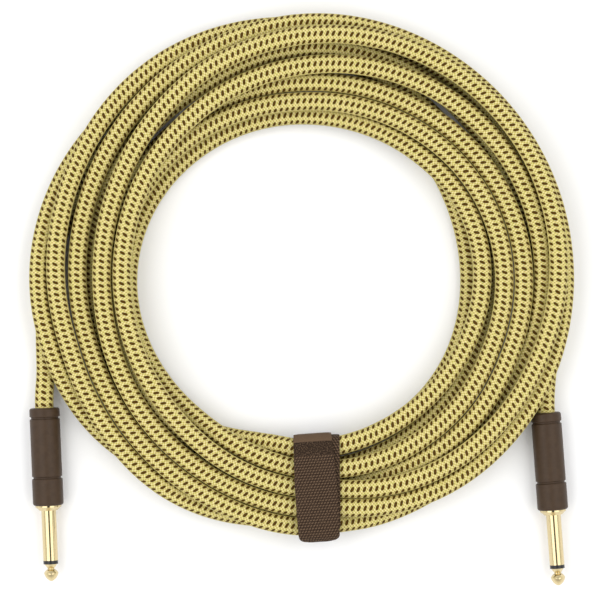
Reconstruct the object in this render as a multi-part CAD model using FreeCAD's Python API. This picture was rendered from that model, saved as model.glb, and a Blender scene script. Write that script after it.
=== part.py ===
import FreeCAD, Part

import math
import os

from FreeCAD import Vector

# Instrument cable with a woven jacket, coiled flat and tied, with a 6.35 mm mono plug at each end.
# Millimetres. The coil lies on the surface it is stored on, +Z up, with both plugs pointing along -Y.

# Cord and coil
CORD_D = 8.0
TURNS = 9.5                 # from the right side, counter-clockwise seen from above, to the left side
START_AZIMUTH = 90.0        # clockwise from +Y
COIL_R = 111.0              # outermost centreline radius of both layers
COIL_PITCH = 8.5            # how far a layer's spiral moves inwards in one turn
LAYER_RISE = 8.5            # height of the upper layer over the lower one
CLIMB_TURNS = 0.5           # the climb to the upper layer, half before the reversal and half after it
LOWER_SHIFT = -1.5          # how far the lower layer lies to the left of the upper one
SHIFT_TURNS = 0.75          # the stretch before the reversal in which that shift goes out
FAN_OUT = 0.06              # how much wider the loose turns spread opposite the tie
FAN_RADIUS = 92.0           # the turn that keeps its size where the others fan out
LEFT_RUN = 12.0             # straight run of a lead where it leaves the coil and the grip
RIGHT_RUN = 15.0
GAP_LIMIT = 0.4             # least gap allowed between two turns

# Plug pin, the 6.35 mm standard size
PIN_D = 6.35
SLEEVE_LENGTH = 21.6
RING_LENGTH = 1.5
TIP_LENGTH = 7.4
TIP_D = 6.2
TIP_NECK_D = 3.0
TIP_NECK_AT = 1.9           # from the back of the tip to its waist
TIP_BULGE_AT = 3.9          # from the back of the tip to its widest place
TIP_NOSE_D = 0.9            # small flat at the very end
ROD_D = 2.4
TUBE_WALL = 0.6
FLANGE_D = 11.2
FLANGE_NOSE_D = 7.8
FLANGE_LENGTH = 2.1
BOSS_D = 9.6
BOSS_LENGTH = 6.0

# Grip
GRIP_LENGTH = 42.0
GRIP_D = 13.0
GRIP_FRONT_D = 13.2
GRIP_FRONT_LENGTH = 12.0
GRIP_REAR_LENGTH = 4.3
GROOVE_WIDTH = 1.2              # at the surface, half of it at the bottom
GROOVE_DEPTH = 0.6
GROOVE_ROUND = 0.3
GRIP_ROUND = 1.2
GRIP_REAR_ROUND = 1.1
CAVITY_D = 10.0

# Terminals and the stripped end of the cord, inside the grip
LUG_T = 0.6
WASHER_T = 0.8
WASHER_D = 7.4
TIP_LUG_D = 4.8
TIP_LUG_LENGTH = 9.0
TIP_LUG_WIDTH = 2.4
GROUND_LUG_D = 9.2
GROUND_LUG_WIDTH = 4.0
GROUND_LUG_LENGTH = 18.0
SPIGOT_D = 5.2
RIVET_D = 3.4
RIVET_LENGTH = 0.8
JACKET_REACH = 2.0          # how far the jacket runs into the grip's cavity
CORE_D = 3.0
CORE_LENGTH = 11.0
CONDUCTOR_D = 1.2
CONDUCTOR_LENGTH = 8.0
CONDUCTOR_BACK = 1.0        # from the conductor's end to the front of the inner mould
SHIELD_D = 1.6
SHIELD_LENGTH = 14.0
MOULD_CLEAR = 0.2           # from the inner mould to the rivet head
SEAT_GAP = 0.05             # between pieces that are assembled against each other
RUN_GAP = 0.1               # between a bore and what passes through it

# Tie strap
STRAP_WIDTH = 18.0
STRAP_T = 1.0
PAD_T = 0.4                 # hook face and loop face
PAD_EDGE = 1.5              # how far the hook and loop faces stay inside the webbing
STRAP_CLEAR = 0.4           # between the webbing and the cord
STRAP_AZIMUTH = 176.0       # clockwise from +Y
STRAP_INNER_BEND = 7.5
STRAP_OUTER_BEND = 5.0
FLAP_GAP = 0.3
FLAP_WRAP = 50.0            # degrees that the flap's free end turns down over the outer bend
FLAP_CORNER = 3.5

# Where the two plugs lie: the middle of the grip's rear end, from the coil's centre, and the lean
LEFT_PLUG = {"x": -110.7, "y": -54.6, "lean": 2.4}
RIGHT_PLUG = {"x": 105.1, "y": -56.6, "lean": 4.3}

CORD_R = CORD_D / 2
PLUG_HEIGHT = GRIP_FRONT_D / 2
TIE_LIFT = STRAP_T + STRAP_CLEAR + 0.1
FLANGE_BACK = GRIP_LENGTH
SLEEVE_START = FLANGE_BACK + FLANGE_LENGTH
RING_START = SLEEVE_START + SLEEVE_LENGTH
TIP_START = RING_START + RING_LENGTH
BOSS_BACK = GRIP_LENGTH - BOSS_LENGTH
WASHER_FRONT = BOSS_BACK - LUG_T
TIP_LUG_FRONT = WASHER_FRONT - WASHER_T
TIP_LUG_BACK = TIP_LUG_FRONT - LUG_T
RIVET_BACK = TIP_LUG_BACK - RIVET_LENGTH
MOULD_END = RIVET_BACK - MOULD_CLEAR
CONDUCTOR_END = MOULD_END - CONDUCTOR_BACK
CORE_END = CONDUCTOR_END - CONDUCTOR_LENGTH
JACKET_END = CORE_END - CORE_LENGTH
SHIELD_END = JACKET_END + SHIELD_LENGTH
NECK_END = JACKET_END - JACKET_REACH
CORE_OFFSET = CONDUCTOR_D
TIP_TAIL_BOTTOM = CORE_OFFSET + CONDUCTOR_D / 2 + SEAT_GAP
GROUND_TAIL_BOTTOM = -(WASHER_D / 2 + SEAT_GAP + LUG_T)
SHIELD_OFFSET = GROUND_TAIL_BOTTOM + LUG_T + SEAT_GAP + SHIELD_D / 2


# Shared helpers

def revolved(outline):
    """Solid of revolution about the local X axis from an outline of (x, radius) corners."""
    corners = [Vector(x, 0, r) for x, r in outline]
    wire = Part.makePolygon(corners + corners[:1])
    return Part.Face(wire).revolve(Vector(0, 0, 0), Vector(1, 0, 0), 360)


def rod_along(x_start, x_end, diameter, height=0.0):
    """Cylinder along local X, its axis at the given height."""
    return Part.makeCylinder(diameter / 2, x_end - x_start, Vector(x_start, 0, height), Vector(1, 0, 0))


def block(x_start, x_end, width, z_bottom, z_top):
    """Box centred on the local XZ plane."""
    corner = Vector(x_start, -width / 2, z_bottom)
    return Part.makeBox(x_end - x_start, width, z_top - z_bottom, corner)


def arc_edge(first, middle, last):
    return Part.Arc(first, middle, last).toShape()


def line_edge(first, last):
    return Part.LineSegment(first, last).toShape()


def swept(edges, start, heading):
    """Round cord along the edges, as one pipe shell closed at both ends."""
    profile = Part.Wire([Part.makeCircle(CORD_R, start, heading)])
    shell = Part.BRepOffsetAPI.MakePipeShell(Part.Wire(edges))
    shell.add(profile)
    shell.build()
    shell.makeSolid()
    return shell.shape()


def polar(radius, azimuth, height=0.0):
    """Point at a radius and an azimuth clockwise from +Y, about the coil's centre."""
    angle = math.radians(azimuth)
    return Vector(radius * math.sin(angle), radius * math.cos(angle), height)


# Coil: a spiral inwards on the surface, a climb at the tie, and a spiral outwards on top of it

def eased(share):
    """0 up to a share of 0, 1 from a share of 1, and smooth between them."""
    share = min(1.0, max(0.0, share))
    return share * share * (3 - 2 * share)


def coil_point(turn):
    azimuth = START_AZIMUTH - 360.0 * turn
    across = math.cos(math.radians(azimuth))
    radius = COIL_R - COIL_PITCH * min(turn, TURNS - turn)
    radius += (radius - FAN_RADIUS) * FAN_OUT * max(0.0, across) ** 2
    lift = TIE_LIFT * max(0.0, -across) ** 2
    past = turn - TURNS / 2
    rise = LAYER_RISE * eased((past + CLIMB_TURNS / 2) / CLIMB_TURNS)
    shift = LOWER_SHIFT * eased(-past / SHIFT_TURNS)
    return polar(radius, azimuth, CORD_R + lift + rise) + Vector(shift, 0, 0)


def coil_heading(turn):
    """Direction of travel, level and square to the radius at both ends of the coil."""
    if turn <= 0 or turn >= TURNS:
        return polar(1.0, START_AZIMUTH - 90.0 - 360.0 * turn)
    step = 0.02
    return (coil_point(turn + step) - coil_point(turn - step)).normalize()


def arc_half(start, corner, end):
    """Arc that leaves start towards corner and arrives at end from it, both at one distance."""
    spread = (end - start).Length / (2 * (corner - start).Length)
    middle = ((start + end) * 0.5 + corner * spread) * (1 / (1 + spread))
    return arc_edge(start, middle, end)


def biarc(start, start_heading, end, end_heading):
    """Two arcs that meet smoothly and join two points with their headings."""
    gap = end - start
    total = start_heading + end_heading
    unlike = 2 * (1 - start_heading.dot(end_heading))
    along = gap.dot(total)
    reach = (math.sqrt(along * along + unlike * gap.dot(gap)) - along) / unlike
    first_corner = start + start_heading * reach
    last_corner = end - end_heading * reach
    joint = (first_corner + last_corner) * 0.5
    return [arc_half(start, first_corner, joint), arc_half(joint, last_corner, end)]


def coil_edges():
    """Quarter-turn biarcs, with one cord diameter of straight at each end."""
    quarters = int(round(TURNS * 4))
    stops = [quarter / 4 for quarter in range(quarters + 1)]
    points = [coil_point(turn) for turn in stops]
    headings = [coil_heading(turn) for turn in stops]
    edges = [line_edge(points[0] - headings[0] * CORD_D, points[0])]
    for index in range(quarters):
        edges += biarc(points[index], headings[index], points[index + 1], headings[index + 1])
    edges.append(line_edge(points[-1], points[-1] + headings[-1] * CORD_D))
    return edges


def coil_start():
    return coil_point(0) - coil_heading(0) * CORD_D


def coil_end():
    return coil_point(TURNS) + coil_heading(TURNS) * CORD_D


def points_along(edges, count):
    """Evenly spaced points on each edge, its own end left to the next edge."""
    points = []
    for edge in edges:
        first, last = edge.ParameterRange
        share = (last - first) / count
        points += [edge.valueAt(first + share * step) for step in range(count)]
    return points


def least_gap(edges):
    """Smallest space between two turns, from points along the cord compared at like azimuths."""
    per_quarter = 24
    points = points_along(edges[1:-1], per_quarter // 2)
    turn_count = 4 * per_quarter
    least = COIL_R
    for index, point in enumerate(points):
        for other in range(index + turn_count - 3, len(points), turn_count):
            near = points[other:other + 7]
            least = min([least] + [(point - q).Length for q in near])
    return least - CORD_D


def make_coil():
    edges = coil_edges()
    length = sum(edge.Length for edge in edges)
    coil = swept(edges, coil_start(), coil_heading(0))
    gap = least_gap(edges)
    share = coil.Volume / (math.pi * CORD_R ** 2 * length)
    print("coil: length %.0f mm, least gap %.2f mm, volume share %.4f" % (length, gap, share))
    if gap < GAP_LIMIT:
        print("coil: two turns are closer than the limit")
    return coil, length


# Leads: straight runs joined by tangent arcs

def make_lead(name, route):
    """Cord through the route's points, with each corner rounded as far as its two runs allow."""
    edges = []
    here = route[0]
    radii = []
    for index in range(1, len(route) - 1):
        before = route[index] - route[index - 1]
        after = route[index + 1] - route[index]
        cut = 0.45 * min(before.Length, after.Length)
        turn = before.getAngle(after)
        radii.append(cut / math.tan(turn / 2))
        enter = route[index] - before.normalize() * cut
        leave = route[index] + after.normalize() * cut
        edges.append(line_edge(here, enter))
        edges.append(arc_half(enter, route[index], leave))
        here = leave
    edges.append(line_edge(here, route[-1]))
    length = sum(edge.Length for edge in edges)
    lead = swept(edges, route[0], (route[1] - route[0]).normalize())
    share = lead.Volume / (math.pi * CORD_R ** 2 * length)
    shown = ", ".join("%.0f" % radius for radius in radii)
    print("%s: length %.0f mm, bend radii %s mm, volume share %.4f" % (name, length, shown, share))
    return lead, length


def plug_heading(plug):
    lean = math.radians(plug["lean"])
    return Vector(math.sin(lean), -math.cos(lean), 0)


def plug_rear(plug):
    return Vector(plug["x"], plug["y"], PLUG_HEIGHT)


def left_route():
    """From the upper layer down beside the coil to the left grip."""
    rear = plug_rear(LEFT_PLUG)
    heading = plug_heading(LEFT_PLUG)
    start = coil_end()
    return [start, start + coil_heading(TURNS) * LEFT_RUN, rear - heading * LEFT_RUN, rear]


def right_route():
    """From the lower layer along the surface to the right grip."""
    rear = plug_rear(RIGHT_PLUG)
    heading = plug_heading(RIGHT_PLUG)
    start = coil_start()
    return [start, start - coil_heading(0) * RIGHT_RUN, rear - heading * RIGHT_RUN, rear]


# Plug, along local X from the grip's rear end to the tip

def make_grip():
    """Moulded grip with a rear collar, two soft grooves and a wider front collar."""
    rear_groove = GRIP_REAR_LENGTH - GROOVE_WIDTH / 2
    front_groove = GRIP_LENGTH - GRIP_FRONT_LENGTH - GROOVE_WIDTH / 2
    slope = GROOVE_WIDTH / 4
    rear_r = GRIP_D / 2
    front_r = GRIP_FRONT_D / 2
    outline = [
        (0, CORD_R + RUN_GAP),
        (0, rear_r),
        (rear_groove, rear_r),
        (rear_groove + slope, rear_r - GROOVE_DEPTH),
        (rear_groove + GROOVE_WIDTH - slope, rear_r - GROOVE_DEPTH),
        (rear_groove + GROOVE_WIDTH, rear_r),
        (front_groove, rear_r),
        (front_groove + slope, rear_r - GROOVE_DEPTH),
        (front_groove + GROOVE_WIDTH - slope, rear_r - GROOVE_DEPTH),
        (front_groove + GROOVE_WIDTH, front_r),
        (GRIP_LENGTH, front_r),
        (GRIP_LENGTH, BOSS_D / 2 + RUN_GAP),
        (BOSS_BACK, BOSS_D / 2 + RUN_GAP),
        (BOSS_BACK, CAVITY_D / 2),
        (NECK_END, CAVITY_D / 2),
        (NECK_END, CORD_R + RUN_GAP),
    ]
    grip = revolved(outline)
    lips = rim_edges(grip, rear_groove, rear_r) + rim_edges(grip, rear_groove + GROOVE_WIDTH, rear_r)
    lips += rim_edges(grip, front_groove, rear_r) + rim_edges(grip, front_groove + GROOVE_WIDTH, front_r)
    grip = grip.makeFillet(GROOVE_ROUND, lips)
    grip = grip.makeFillet(GRIP_ROUND, rim_edges(grip, GRIP_LENGTH, front_r))
    return grip.makeFillet(GRIP_REAR_ROUND, rim_edges(grip, 0, rear_r))


def rim_edges(shape, x, radius):
    """Circular edges of a turned piece at a place along its axis."""
    found = []
    for edge in shape.Edges:
        if not isinstance(edge.Curve, Part.Circle):
            continue
        if abs(edge.Curve.Center.x - x) < 1e-6 and abs(edge.Curve.Radius - radius) < 1e-6:
            found.append(edge)
    return found


def make_sleeve():
    """Sleeve contact with its flange, the boss inside the grip and the spigot for the ground lug."""
    bore = ROD_D / 2 + TUBE_WALL + 2 * SEAT_GAP
    outline = [
        (WASHER_FRONT, bore),
        (WASHER_FRONT, SPIGOT_D / 2),
        (BOSS_BACK, SPIGOT_D / 2),
        (BOSS_BACK, BOSS_D / 2),
        (FLANGE_BACK, BOSS_D / 2),
        (FLANGE_BACK, FLANGE_D / 2),
        (FLANGE_BACK + 0.3 * FLANGE_LENGTH, FLANGE_D / 2),
        (SLEEVE_START, FLANGE_NOSE_D / 2),
        (SLEEVE_START, PIN_D / 2),
        (RING_START, PIN_D / 2),
        (RING_START, bore),
    ]
    return revolved(outline)


def make_tip_ring():
    """Insulating ring between the sleeve and the tip."""
    hole = ROD_D / 2 + SEAT_GAP
    outline = [(RING_START, hole), (RING_START, PIN_D / 2), (TIP_START, PIN_D / 2), (TIP_START, hole)]
    return revolved(outline)


def make_inner_insulator():
    """Tube that keeps the tip's rod off the sleeve."""
    inner = ROD_D / 2 + SEAT_GAP
    outer = inner + TUBE_WALL
    outline = [(WASHER_FRONT, inner), (WASHER_FRONT, outer), (RING_START, outer), (RING_START, inner)]
    return revolved(outline)


def make_tip():
    """Tip contact: cone to a waist, round bulge and nose, with its rod and the rivet head behind."""
    waist_x = TIP_START + TIP_NECK_AT
    bulge_x = TIP_START + TIP_BULGE_AT
    nose_x = TIP_START + TIP_LENGTH
    bulge_r = TIP_D / 2
    waist_r = TIP_NECK_D / 2
    corners = [
        Vector(nose_x, 0, 0),
        Vector(RIVET_BACK, 0, 0),
        Vector(RIVET_BACK, 0, RIVET_D / 2),
        Vector(TIP_LUG_BACK, 0, RIVET_D / 2),
        Vector(TIP_LUG_BACK, 0, ROD_D / 2),
        Vector(TIP_START, 0, ROD_D / 2),
        Vector(TIP_START, 0, TIP_D / 2 - 0.3),
        Vector(waist_x, 0, waist_r),
        Vector(waist_x + 0.3, 0, waist_r),
    ]
    edges = [line_edge(corners[i], corners[i + 1]) for i in range(len(corners) - 1)]
    shoulder = Vector(bulge_x, 0, bulge_r)
    shoulder_mid = Vector(bulge_x - 0.75, 0, bulge_r - 0.45)
    nose_mid = Vector(bulge_x + 0.62 * (nose_x - bulge_x), 0, 0.69 * bulge_r)
    nose_rim = Vector(nose_x, 0, TIP_NOSE_D / 2)
    edges.append(arc_edge(corners[-1], shoulder_mid, shoulder))
    edges.append(arc_edge(shoulder, nose_mid, nose_rim))
    edges.append(line_edge(nose_rim, corners[0]))
    return Part.Face(Part.Wire(edges)).revolve(Vector(0, 0, 0), Vector(1, 0, 0), 360)


def make_tip_lug():
    """Solder lug riveted to the tip's rod, with its tail over the conductor."""
    ring = rod_along(TIP_LUG_BACK, TIP_LUG_FRONT, TIP_LUG_D)
    tail_back = TIP_LUG_FRONT - TIP_LUG_LENGTH
    tail = block(tail_back, TIP_LUG_FRONT, TIP_LUG_WIDTH, TIP_TAIL_BOTTOM, TIP_TAIL_BOTTOM + LUG_T)
    hole = rod_along(TIP_LUG_BACK, TIP_LUG_FRONT, ROD_D + 2 * SEAT_GAP)
    return ring.fuse(tail).cut(hole).removeSplitter()


def make_lug_washer():
    """Insulating washer between the two lugs."""
    washer = rod_along(TIP_LUG_FRONT, WASHER_FRONT, WASHER_D)
    return washer.cut(rod_along(TIP_LUG_FRONT, WASHER_FRONT, ROD_D + 2 * SEAT_GAP))


def make_ground_lug():
    """Ground lug on the sleeve's spigot, with its long tail under the shield."""
    ring = rod_along(WASHER_FRONT, BOSS_BACK, GROUND_LUG_D)
    tail_back = BOSS_BACK - GROUND_LUG_LENGTH
    top = GROUND_TAIL_BOTTOM + LUG_T
    tail = block(tail_back, BOSS_BACK, GROUND_LUG_WIDTH, GROUND_TAIL_BOTTOM, top)
    hole = rod_along(WASHER_FRONT, BOSS_BACK, SPIGOT_D + 2 * SEAT_GAP)
    return ring.fuse(tail).cut(hole).removeSplitter()


def make_inner_mould():
    """Inner mould that fills the grip round the terminals, open for each piece that it holds."""
    grow = 2 * RUN_GAP
    mould = rod_along(JACKET_END, MOULD_END, CAVITY_D - grow)
    tail_top = TIP_TAIL_BOTTOM + LUG_T + RUN_GAP
    ground_low = -CAVITY_D / 2
    ground_top = GROUND_TAIL_BOTTOM + LUG_T + RUN_GAP
    room = [
        rod_along(JACKET_END, CORE_END + RUN_GAP, CORE_D + grow, CORE_OFFSET),
        rod_along(CORE_END, MOULD_END, CONDUCTOR_D + grow, CORE_OFFSET),
        rod_along(JACKET_END, SHIELD_END + RUN_GAP, SHIELD_D + grow, SHIELD_OFFSET),
        block(CORE_END, MOULD_END, TIP_LUG_WIDTH + grow, CORE_OFFSET, tail_top),
        block(JACKET_END, MOULD_END, GROUND_LUG_WIDTH + grow, ground_low, ground_top),
    ]
    for piece in room:
        mould = mould.cut(piece)
    return mould


def plug_pieces():
    """Every piece of one plug, in its local frame."""
    return {
        "grip": make_grip(),
        "sleeve": make_sleeve(),
        "tip": make_tip(),
        "tip_ring": make_tip_ring(),
        "inner_insulator": make_inner_insulator(),
        "tip_lug": make_tip_lug(),
        "lug_washer": make_lug_washer(),
        "ground_lug": make_ground_lug(),
        "inner_mould": make_inner_mould(),
        "jacket_end": rod_along(0, JACKET_END, CORD_D),
        "core": rod_along(JACKET_END, CORE_END, CORE_D, CORE_OFFSET),
        "conductor": rod_along(CORE_END, CONDUCTOR_END, CONDUCTOR_D, CORE_OFFSET),
        "shield_tail": rod_along(JACKET_END, SHIELD_END, SHIELD_D, SHIELD_OFFSET),
    }


def placed_plug(plug, side):
    turned = FreeCAD.Rotation(Vector(0, 0, 1), plug["lean"] - 90.0)
    seat = FreeCAD.Placement(plug_rear(plug), turned)
    made = {}
    for name, shape in plug_pieces().items():
        made[name + "_" + side] = shape.transformed(seat.toMatrix(), True)
    return made


# Tie strap, drawn in a plane of radius and height and carried across the strap's width

def strap_span():
    """Inner face of the webbing: lowest and highest radius, bottom and top."""
    turn = (START_AZIMUTH - STRAP_AZIMUTH) / 360.0 % 1.0
    lanes = min(turn, (TURNS - turn) % 1.0)
    sag = (STRAP_WIDTH / 2) ** 2 / (2 * (COIL_R - COIL_PITCH * TURNS / 2))
    inmost = COIL_R - COIL_PITCH * (TURNS / 2)
    outmost = COIL_R - COIL_PITCH * lanes
    low = inmost - sag - CORD_R - STRAP_CLEAR
    high = outmost + CORD_R + STRAP_CLEAR
    top = CORD_D + LAYER_RISE + TIE_LIFT + STRAP_CLEAR
    return low, high, STRAP_T, top


def rounded_box(low, high, bottom, top, inner_bend, outer_bend):
    """Closed wire with full arcs at its four corners, in the plane of radius and height."""
    diagonal = math.sqrt(0.5)

    def corner(x, z, bend, side_x, side_z):
        cx = x - side_x * bend
        cz = z - side_z * bend
        on_side = Vector(x, 0, cz)
        on_end = Vector(cx, 0, z)
        middle = Vector(cx + side_x * bend * diagonal, 0, cz + side_z * bend * diagonal)
        return on_side, middle, on_end

    low_bottom = corner(low, bottom, inner_bend, -1, -1)
    high_bottom = corner(high, bottom, outer_bend, 1, -1)
    high_top = corner(high, top, outer_bend, 1, 1)
    low_top = corner(low, top, inner_bend, -1, 1)
    edges = [
        arc_edge(low_bottom[0], low_bottom[1], low_bottom[2]),
        line_edge(low_bottom[2], high_bottom[2]),
        arc_edge(high_bottom[2], high_bottom[1], high_bottom[0]),
        line_edge(high_bottom[0], high_top[0]),
        arc_edge(high_top[0], high_top[1], high_top[2]),
        line_edge(high_top[2], low_top[2]),
        arc_edge(low_top[2], low_top[1], low_top[0]),
        line_edge(low_top[0], low_bottom[0]),
    ]
    return Part.Wire(edges)


def across(face, width):
    """Face carried across the strap, centred on its middle."""
    face.translate(Vector(0, -width / 2, 0))
    return face.extrude(Vector(0, width, 0))


def make_strap_band():
    """Webbing once round the bundle of turns."""
    low, high, bottom, top = strap_span()
    t = STRAP_T
    bends = (STRAP_INNER_BEND, STRAP_OUTER_BEND)
    outer = Part.Face(rounded_box(low - t, high + t, bottom - t, top + t, bends[0] + t, bends[1] + t))
    inner = Part.Face(rounded_box(low, high, bottom, top, bends[0], bends[1]))
    return across(outer, STRAP_WIDTH).cut(across(inner, STRAP_WIDTH + 2))


def flap_layer(rise, thickness, hinge_x, wrap):
    """Layer over the band's top that also turns down over its outer bend, at a rise above the webbing."""
    low, high, bottom, top = strap_span()
    centre = Vector(high - STRAP_OUTER_BEND, 0, top - STRAP_OUTER_BEND)
    near = STRAP_OUTER_BEND + STRAP_T + rise
    far = near + thickness

    def on_bend(radius, angle):
        turned = math.radians(angle)
        return centre + Vector(radius * math.sin(turned), 0, radius * math.cos(turned))

    start_near = Vector(hinge_x, 0, on_bend(near, 0).z)
    start_far = Vector(hinge_x, 0, on_bend(far, 0).z)
    edges = [
        line_edge(start_near, on_bend(near, 0)),
        arc_edge(on_bend(near, 0), on_bend(near, wrap / 2), on_bend(near, wrap)),
        line_edge(on_bend(near, wrap), on_bend(far, wrap)),
        arc_edge(on_bend(far, wrap), on_bend(far, wrap / 2), on_bend(far, 0)),
        line_edge(on_bend(far, 0), start_far),
        line_edge(start_far, start_near),
    ]
    return Part.Face(Part.Wire(edges))


def hinge_place():
    """Radius and height of the line that the flap peels about."""
    low, high, bottom, top = strap_span()
    return low + STRAP_INNER_BEND, top + STRAP_T + PAD_T + FLAP_GAP + PAD_T + STRAP_T / 2


def make_strap_flap():
    """Free end of the webbing, folded over the band, with its two outer corners rounded off."""
    hinge_x, hinge_z = hinge_place()
    rise = 2 * PAD_T + FLAP_GAP
    flap = across(flap_layer(rise, STRAP_T, hinge_x, FLAP_WRAP), STRAP_WIDTH)
    root = Part.makeCylinder(STRAP_T / 2, STRAP_WIDTH, Vector(hinge_x, -STRAP_WIDTH / 2, hinge_z), Vector(0, 1, 0))
    flap = flap.fuse(root).removeSplitter()
    corners = [edge for edge in flap.Edges if is_flap_corner(edge)]
    return flap.makeFillet(FLAP_CORNER, corners)


def is_flap_corner(edge):
    """The short edges through the webbing at the flap's free end."""
    low, high, bottom, top = strap_span()
    ends = [vertex.Point for vertex in edge.Vertexes]
    beyond = all(point.x > high - STRAP_OUTER_BEND + 1 for point in ends)
    through = len(ends) == 2 and abs(ends[0].y - ends[1].y) < 1e-6 and abs(edge.Length - STRAP_T) < 1e-4
    return beyond and through


def make_hook_pad():
    """Hook face under the flap."""
    hinge_x, hinge_z = hinge_place()
    face = flap_layer(PAD_T + FLAP_GAP, PAD_T, hinge_x + PAD_EDGE, 0.8 * FLAP_WRAP)
    return across(face, STRAP_WIDTH - 2 * PAD_EDGE)


def make_loop_pad():
    """Loop face on the band's top."""
    hinge_x, hinge_z = hinge_place()
    face = flap_layer(0.0, PAD_T, hinge_x + PAD_EDGE, 0.8 * FLAP_WRAP)
    return across(face, STRAP_WIDTH - 2 * PAD_EDGE)


def placed_strap():
    seat = FreeCAD.Placement(Vector(0, 0, 0), FreeCAD.Rotation(Vector(0, 0, 1), 90.0 - STRAP_AZIMUTH))
    made = {
        "strap_band": make_strap_band(),
        "strap_flap": make_strap_flap(),
        "hook_pad": make_hook_pad(),
        "loop_pad": make_loop_pad(),
    }
    return {name: shape.transformed(seat.toMatrix(), True) for name, shape in made.items()}


# Assembly

def base_centre(shapes):
    """Middle of the underside of a group of pieces."""
    box = Part.makeCompound(shapes).optimalBoundingBox(False, False)
    return Vector(box.Center.x, box.Center.y, 0)


def show_places(origin):
    """The places that the record needs, from the origin, in millimetres."""
    azimuth = math.radians(STRAP_AZIMUTH)
    radial = Vector(math.sin(azimuth), math.cos(azimuth), 0)
    hinge_x, hinge_z = hinge_place()
    low, high, bottom, top = strap_span()
    hinge = radial * hinge_x + Vector(0, 0, hinge_z) - origin
    rest = radial * ((low + high) / 2) - origin
    print("coil centre", tuple(round(v, 3) for v in Vector(0, 0, 0) - origin))
    print("flap hinge", tuple(round(v, 3) for v in hinge), "axis", (round(-radial.y, 6), round(radial.x, 6), 0))
    print("strap underside", tuple(round(v, 3) for v in rest))
    for side, plug in (("left", LEFT_PLUG), ("right", RIGHT_PLUG)):
        heading = plug_heading(plug)
        middle = plug_rear(plug) + heading * ((SLEEVE_START + TIP_START) / 2) - origin
        along = tuple(round(v, 6) for v in heading)
        print("pin", side, tuple(round(v, 3) for v in middle), "axis", along)


def main():
    rigid = {}
    rigid.update(placed_plug(LEFT_PLUG, "left"))
    rigid.update(placed_plug(RIGHT_PLUG, "right"))
    rigid.update(placed_strap())
    coil, coil_length = make_coil()
    left, left_length = make_lead("cord_lead_left", left_route())
    right, right_length = make_lead("cord_lead_right", right_route())
    print("cord: %.0f mm from grip to grip" % (coil_length + left_length + right_length))
    origin = base_centre(list(rigid.values()))
    pieces = dict(rigid)
    pieces.update({"cord_coil": coil, "cord_lead_left": left, "cord_lead_right": right})
    os.makedirs("parts", exist_ok=True)
    for name, shape in pieces.items():
        shape.translate(origin * -1)
        shape.exportStep("parts/" + name + ".step")
        print(name, "valid", shape.isValid(), "volume %.1f" % shape.Volume)
    show_places(origin)


main()
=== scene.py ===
import math

import bpy
import numpy as np
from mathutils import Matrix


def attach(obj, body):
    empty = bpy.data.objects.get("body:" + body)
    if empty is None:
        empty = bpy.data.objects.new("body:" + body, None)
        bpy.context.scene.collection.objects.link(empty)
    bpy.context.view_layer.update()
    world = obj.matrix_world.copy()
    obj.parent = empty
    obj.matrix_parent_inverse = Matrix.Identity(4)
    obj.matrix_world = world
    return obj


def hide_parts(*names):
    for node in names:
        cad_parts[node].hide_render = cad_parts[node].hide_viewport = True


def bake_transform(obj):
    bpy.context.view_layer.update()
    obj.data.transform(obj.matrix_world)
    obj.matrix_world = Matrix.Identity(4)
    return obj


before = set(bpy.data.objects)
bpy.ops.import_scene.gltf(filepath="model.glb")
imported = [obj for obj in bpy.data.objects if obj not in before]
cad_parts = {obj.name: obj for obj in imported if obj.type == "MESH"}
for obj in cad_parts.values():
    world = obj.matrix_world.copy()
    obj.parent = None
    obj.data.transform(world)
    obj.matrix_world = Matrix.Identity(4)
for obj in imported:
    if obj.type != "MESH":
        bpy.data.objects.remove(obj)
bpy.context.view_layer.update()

# Camera. The coiled cable lies flat and is seen from straight above, +Y up in the picture, through a
# long lens. One pixel covers 0.43 mm at the height of the cord, and VIEW_SHIFT leads from the coil's
# centre to the picture's middle.

PIXEL = 0.00043
PICTURE_PIXELS = 600
SENSOR_MM = 36.0
COIL_CENTRE = np.array([0.001203, 0.092698, 0.0])
VIEW_SHIFT = np.array([-1.5 * PIXEL, -19.0 * PIXEL, 0.008])
view_centre = COIL_CENTRE + VIEW_SHIFT
view_height = 1.3

eye = bpy.data.cameras.new("overhead_camera")
eye.sensor_width = SENSOR_MM
eye.lens = SENSOR_MM * view_height / (PICTURE_PIXELS * PIXEL)
eye_object = bpy.data.objects.new("overhead_camera", eye)
eye_object.location = view_centre + np.array([0.0, 0.0, view_height])
bpy.context.scene.collection.objects.link(eye_object)
bpy.context.scene.camera = eye_object
bpy.context.scene.view_settings.view_transform = "Standard"


# Cord. One 8 mm cord with a woven tweed jacket, wound by hand into nine and a half turns that cross over
# each other, with both leads coming out from under the rest. The turns settle by a small relaxation:
# each keeps near its drawn radius and layer, sags a little and pushes off the others.

CORD_D = 0.008
MM = 0.001


def srgb(red, green, blue):
    """Display colour from 0 to 255 as a linear colour with alpha."""
    shown = np.array([red, green, blue]) / 255.0
    linear = np.where(shown <= 0.04045, shown / 12.92, ((shown + 0.055) / 1.055) ** 2.4)
    return (*linear.tolist(), 1.0)


def softened(values, rounds):
    """Repeated blend of each value with its two neighbours, ends kept."""
    for _ in range(rounds):
        values = values.copy()
        values[1:-1] += 0.25 * (values[:-2] - 2 * values[1:-1] + values[2:])
    return values


def to_middle(values):
    """Step from each inner value to the mean of its two neighbours."""
    return 0.5 * (values[:-2] + values[2:]) - values[1:-1]


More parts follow.
